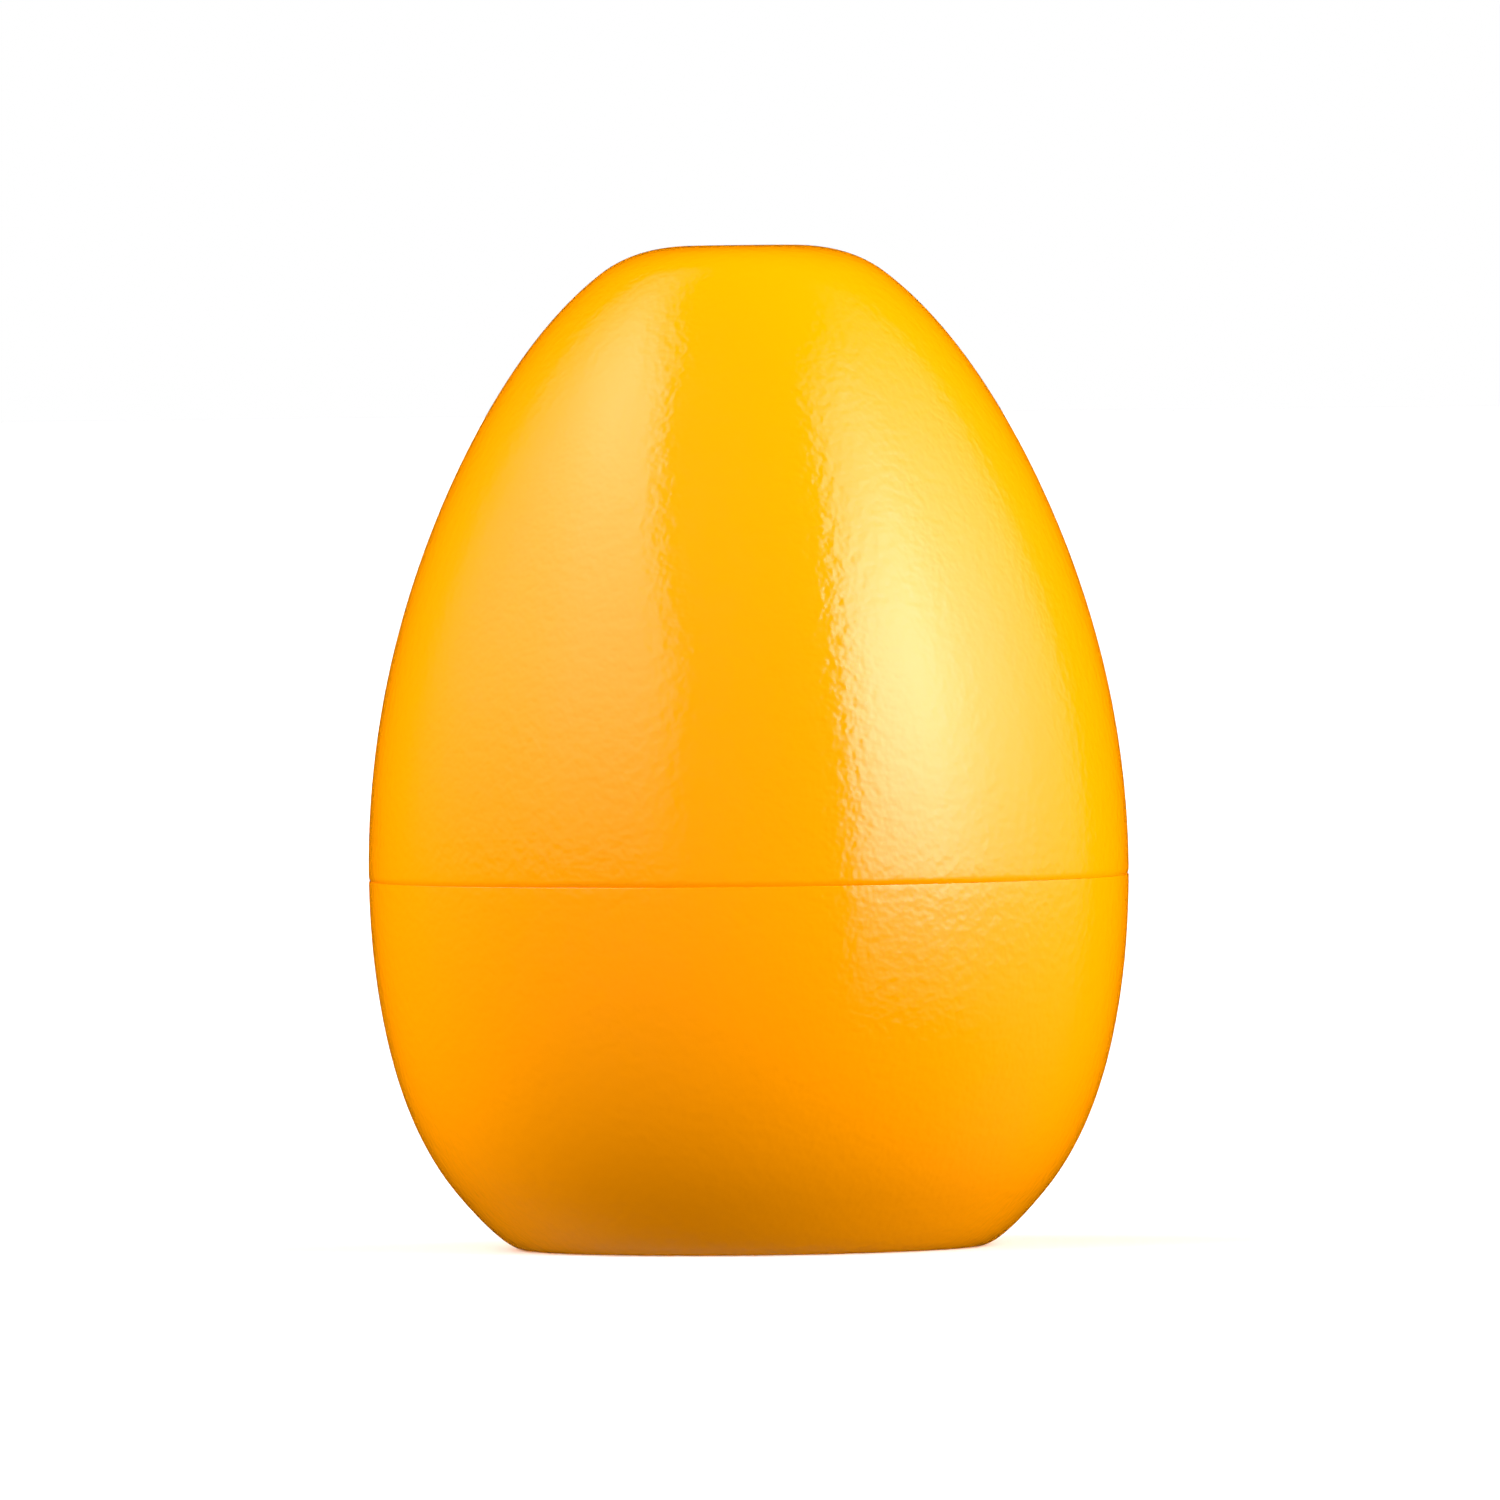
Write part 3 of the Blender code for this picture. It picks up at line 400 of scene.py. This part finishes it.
def dial_shell():
    """The upper shell: down its outer side, round its rim and up its inner side."""
    rim = SEAM_Z + 0.5 * SEAM_GAP
    along, inwards = DIAL_ROUNDING
    blend = (egg_radius(TOP_BLEND_Z), TOP_BLEND_Z)
    profile = [(0.0, HEIGHT), (TOP_CENTRE_R, HEIGHT)]
    profile += bezier((TOP_FLAT_R, HEIGHT), (TOP_CORNER_R, HEIGHT), blend, CORNER_STEPS)[:-1]
    profile += egg_arc(TOP_BLEND_Z, rim + along, DIAL_STEPS)
    profile += softened(rim, rim + along, inwards)
    profile += [(RIM_INNER_R + CHAMFER, rim), (RIM_INNER_R, rim + CHAMFER)]
    profile += [(RIM_INNER_R, RIM_INNER_TOP)]
    for z in spaced(*DIAL_WALL_Z, 16):
        profile.append((egg_radius(z + WALL_SHIFT) - WALL_SIDE, z))
    profile += [(CEILING_R, CEILING_Z), (0.0, CEILING_Z)]
    piece = mesh_piece("dial_shell", turned(profile), EGG, "dial")
    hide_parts("top_shell")


def base_shell():
    """The lower shell: from its lip down the outer side, over the foot and up inside."""
    seat = SEAM_Z - 0.5 * SEAM_GAP
    along, inwards = BASE_ROUNDING
    profile = [(LIP_OUTER_R - CHAMFER, LIP_TOP), (LIP_OUTER_R, LIP_TOP - CHAMFER)]
    profile += [(LIP_OUTER_R, seat)]
    profile += softened(seat, seat - along, inwards)[::-1]
    profile += egg_arc(seat - along, FOOT_BLEND_Z, BASE_STEPS)
    corner = (FOOT_CORNER_R, 0.0)
    profile += bezier(profile[-1], corner, (FOOT_FLAT_R, 0.0), FOOT_STEPS)[1:]
    profile += [(OPENING_R + OPENING_CHAMFER, 0.0), (OPENING_R, OPENING_CHAMFER)]
    profile += [(OPENING_R, LEDGE_Z), (LEDGE_R, LEDGE_Z), (LEDGE_R, FLOOR_Z)]
    for z in spaced(FLOOR_Z, BASE_WALL_TOP, 12):
        profile.append((egg_radius(z - WALL_SHIFT) - WALL_SIDE, z))
    profile += [(LIP_INNER_R, LIP_FOOT_Z), (LIP_INNER_R, LIP_TOP)]
    piece = mesh_piece("base_shell", turned(profile), EGG, "case")
    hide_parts("bottom_shell")


dial_shell()
base_shell()

# ---------------------------------------------------------------- scale and pointer


def on_egg(angle, z, lift):
    """A point on the egg's surface, lifted along its normal, in metres."""
    slope = (egg_radius(z + 0.05) - egg_radius(z - 0.05)) / 0.1
    length = math.hypot(1.0, slope)
    radius = egg_radius(z) + lift / length
    x, y = polar(radius, angle)
    return Vector((x * MM, y * MM, (z - lift * slope / length) * MM))


def wrapped(flat, angle, z):
    """Lay a flat bmesh (x along the surface, y up it, in mm) on the egg as thin ink."""
    bmesh.ops.triangulate(flat, faces=flat.faces)
    sheet = bmesh.ops.extrude_face_region(flat, geom=flat.faces[:])
    raised = {v for v in sheet["geom"] if isinstance(v, bmesh.types.BMVert)}
    for vert in flat.verts:
        across, up = vert.co.x, vert.co.y
        turn = math.degrees(across / egg_radius(z + up))
        lift = INK_LIFT if vert in raised else -INK_SINK
        vert.co = on_egg(angle + turn, z + up, lift)
    return flat


def strip(rows):
    """A flat bmesh through rows of (left, right) points, listed from the bottom up."""
    flat = bmesh.new()
    verts = [[flat.verts.new((x, y, 0.0)) for x, y in row] for row in rows]
    for low, high in zip(verts, verts[1:]):
        flat.faces.new((low[0], low[1], high[1], high[0]))
    return flat


def tick(angle, length, width):
    rows = [((-0.5 * width, y), (0.5 * width, y)) for y in spaced(0.0, length, 4)]
    return wrapped(strip(rows), angle, TICK_LOW)


def join(shapes):
    """One bmesh that holds all the shapes, which are freed."""
    whole = bmesh.new()
    for shape in shapes:
        mesh = bpy.data.meshes.new("joined")
        shape.to_mesh(mesh)
        shape.free()
        whole.from_mesh(mesh)
        bpy.data.meshes.remove(mesh)
    return whole


def minute_angle(minute):
    return POINTER_ANGLE + minute * MINUTE_STEP


def scale_ticks():
    shapes = []
    for minute in range(MINUTES + 1):
        length, width = SHORT_TICK if minute % LABEL_EVERY else LONG_TICK
        shapes.append(tick(minute_angle(minute), length, width))
    mesh_piece("scale_ticks", join(shapes), INK, "dial")


def numeral(value):
    """A number, upright when seen from outside, centred on its tick."""
    text = bpy.data.curves.new(f"numeral_{value}", "FONT")
    text.body = str(value)
    text.align_x = "CENTER"
    text.size = NUMERAL_SIZE
    text.offset = NUMERAL_WEIGHT
    text.resolution_u = 4
    carrier = bpy.data.objects.new(f"numeral_source_{value}", text)
    bpy.context.scene.collection.objects.link(carrier)
    bpy.context.view_layer.update()
    mesh = bpy.data.meshes.new_from_object(carrier)
    bpy.data.objects.remove(carrier, do_unlink=True)
    flat = bmesh.new()
    flat.from_mesh(mesh)
    bpy.data.meshes.remove(mesh)
    bmesh.ops.remove_doubles(flat, verts=flat.verts, dist=0.0005)
    bmesh.ops.translate(flat, verts=flat.verts, vec=(0.0, NUMERAL_UP, 0.0))
    mesh_piece(f"numeral_{value}", wrapped(flat, minute_angle(value), TICK_LOW), INK, "dial")


def pointer():
    """A triangle on the lower shell that points up at the scale."""
    rows = []
    for t in spaced(1.0, 0.0, 5):
        half = POINTER_HALF_TIP + POINTER_HALF_FLARE * t
        rows.append(((-half, -POINTER_LENGTH * t), (half, -POINTER_LENGTH * t)))
    shape = wrapped(strip(rows), POINTER_ANGLE, SEAM_Z - POINTER_DROP)
    mesh_piece("pointer_mark", shape, INK, "case")


scale_ticks()
for number in range(0, MINUTES + 1, LABEL_EVERY):
    numeral(number)
pointer()

# ---------------------------------------------------------------- floor, light and camera


def floor():
    """A plain pale floor, just under the foot, that throws no light back on the egg."""
    shape = bmesh.new()
    radius = FLOOR_RADIUS * MM
    bmesh.ops.create_circle(shape, cap_ends=True, segments=FLOOR_STEPS, radius=radius)
    bmesh.ops.translate(shape, verts=shape.verts, vec=(0.0, 0.0, -FLOOR_DROP * MM))
    mesh = bpy.data.meshes.new("floor")
    shape.to_mesh(mesh)
    shape.free()
    material, _, shader, _ = new_material("floor_paper")
    shader.inputs["Base Color"].default_value = (0.93, 0.93, 0.93, 1.0)
    shader.inputs["Roughness"].default_value = 0.9
    shader.inputs["Specular IOR Level"].default_value = 0.0
    mesh.materials.append(material)
    ground = bpy.data.objects.new("floor", mesh)
    bpy.context.scene.collection.objects.link(ground)
    ground.visible_glossy = False
    ground.visible_diffuse = False
    ground.visible_shadow = False


# Each soft light is a patch of sky. Its brightness is its level times two curves, one over
# the bearing from the front and one over the elevation, in degrees. Above the elevation
# that is lean's second value, the patch moves outwards by lean's first value a degree.
LEFT_LIGHT = {
    "side": -1.0,
    "level": 5.3,
    "lean": (0.9, 26.0),
    "bearing": ((20, 0.0), (26, 0.5), (34, 0.92), (60, 1.0), (80, 0.64), (102, 0.26), (130, 0.0)),
    "elevation": ((-1, 0.0), (1, 0.09), (10, 0.22), (20, 0.44), (30, 0.61), (38, 0.78), (46, 1.0),
                  (56, 0.95), (62, 0.5), (70, 0.0)),
}
RIGHT_LIGHT = {
    "side": 1.0,
    "level": 14.6,
    "lean": (0.35, 30.0),
    "bearing": ((30, 0.0), (35, 0.6), (44, 0.9), (60, 1.0), (82, 0.42), (102, 0.16), (128, 0.0)),
    "elevation": ((-20, 0.0), (-12, 0.07), (-6, 0.19), (-1, 0.52), (4, 0.67), (11, 0.85), (20, 1.0),
                  (28, 0.95), (36, 0.71), (44, 0.44), (54, 0.24), (60, 0.08), (66, 0.0)),
}
# How much of the two patches the matt colour sees.
PATCH_FILL = 0.66
# Broad fill that lights the matt colour only: bearing, elevation, sharpness, level.
FILLS = (
    (-45.0, 25.0, 3.0, 1.75),
    (-105.0, 25.0, 20.0, 9.0),
    (-165.0, -50.0, 20.0, 8.0),
    (105.0, 25.0, 20.0, 7.2),
    (105.0, -25.0, 20.0, 1.6),
)


def patch_light(nodes, bearing, elevation, light):
    slope, start = light["lean"]
    above = nodes.math("MAXIMUM", nodes.math("SUBTRACT", elevation, start), 0.0)
    outwards = nodes.math("MULTIPLY", bearing, light["side"])
    outwards = nodes.math("SUBTRACT", outwards, nodes.math("MULTIPLY", above, slope))
    across = nodes.ramp(outwards, light["bearing"], -180.0, 180.0)
    up = nodes.ramp(elevation, light["elevation"], -90.0, 90.0)
    return nodes.math("MULTIPLY", nodes.math("MULTIPLY", across, up), light["level"])


def fill_light(nodes, direction, bearing, elevation, sharpness, level):
    """A broad lobe: level times the cosine from its centre, to a power."""
    turn, lift = math.radians(bearing), math.radians(elevation)
    centre = (math.sin(turn) * math.cos(lift), -math.cos(turn) * math.cos(lift), math.sin(lift))
    x, y, z = (nodes.math("MULTIPLY", part, size) for part, size in zip(direction, centre))
    cosine = nodes.math("ADD", nodes.math("ADD", x, y), z)
    lobe = nodes.math("POWER", nodes.math("MAXIMUM", cosine, 0.0), sharpness)
    return nodes.math("MULTIPLY", lobe, level)


def either(nodes, switch, no, yes):
    """The value yes where the light path's switch is on, and no where it is off."""
    node = nodes.add("ShaderNodeMix", data_type="FLOAT")
    nodes.link(switch, node.inputs["Factor"])
    nodes.link(no, node.inputs["A"])
    if isinstance(yes, float):
        node.inputs["B"].default_value = yes
    else:
        nodes.link(yes, node.inputs["B"])
    return node.outputs["Result"]


def studio():
    """A white backdrop, two soft lights, and a fill that reflections don't show."""
    world = bpy.data.worlds.new("studio")
    world.use_nodes = True
    world.cycles.sampling_method = "NONE"
    bpy.context.scene.world = world
    nodes = Nodes(world.node_tree)
    output = nodes.add("ShaderNodeOutputWorld")
    sky = nodes.add("ShaderNodeBackground")
    sky.inputs["Color"].default_value = (1.0, 1.0, 1.0, 1.0)
    nodes.link(sky.outputs["Background"], output.inputs["Surface"])
    split = nodes.add("ShaderNodeSeparateXYZ")
    nodes.link(nodes.add("ShaderNodeTexCoord").outputs["Generated"], split.inputs["Vector"])
    direction = list(split.outputs)
    x, y, z = direction
    front = nodes.math("MULTIPLY", y, -1.0)
    bearing = nodes.math("MULTIPLY", nodes.math("ARCTAN2", x, front), DEGREE)
    elevation = nodes.math("MULTIPLY", nodes.math("ARCSINE", z), DEGREE)
    patches = [patch_light(nodes, bearing, elevation, light) for light in (LEFT_LIGHT, RIGHT_LIGHT)]
    glossy = nodes.math("ADD", *patches)
    diffuse = nodes.math("MULTIPLY", glossy, PATCH_FILL)
    for fill in FILLS:
        diffuse = nodes.math("ADD", diffuse, fill_light(nodes, direction, *fill))
    path = nodes.add("ShaderNodeLightPath")
    light = either(nodes, path.outputs["Is Glossy Ray"], diffuse, glossy)
    strength = either(nodes, path.outputs["Is Camera Ray"], light, 1.0)
    nodes.link(strength, sky.inputs["Strength"])


def camera():
    data = bpy.data.cameras.new("camera")
    data.sensor_width = CAMERA_SENSOR
    data.lens = CAMERA_SENSOR * CAMERA_DISTANCE / VIEW_WIDTH
    data.clip_start, data.clip_end = CAMERA_CLIP
    eye = bpy.data.objects.new("camera", data)
    bpy.context.scene.collection.objects.link(eye)
    tilt = math.radians(CAMERA_ELEVATION)
    aim = Vector(AIM) * MM
    away = Vector((0.0, -math.cos(tilt), math.sin(tilt)))
    place = aim + away * CAMERA_DISTANCE * MM
    turn = away.to_track_quat("Z", "Y").to_matrix().to_4x4()
    roll = Matrix.Rotation(math.radians(CAMERA_ROLL), 4, "Z")
    eye.matrix_world = Matrix.Translation(place) @ turn @ roll
    bpy.context.scene.camera = eye


floor()
studio()
camera()
bpy.context.scene.view_settings.view_transform = "Standard"
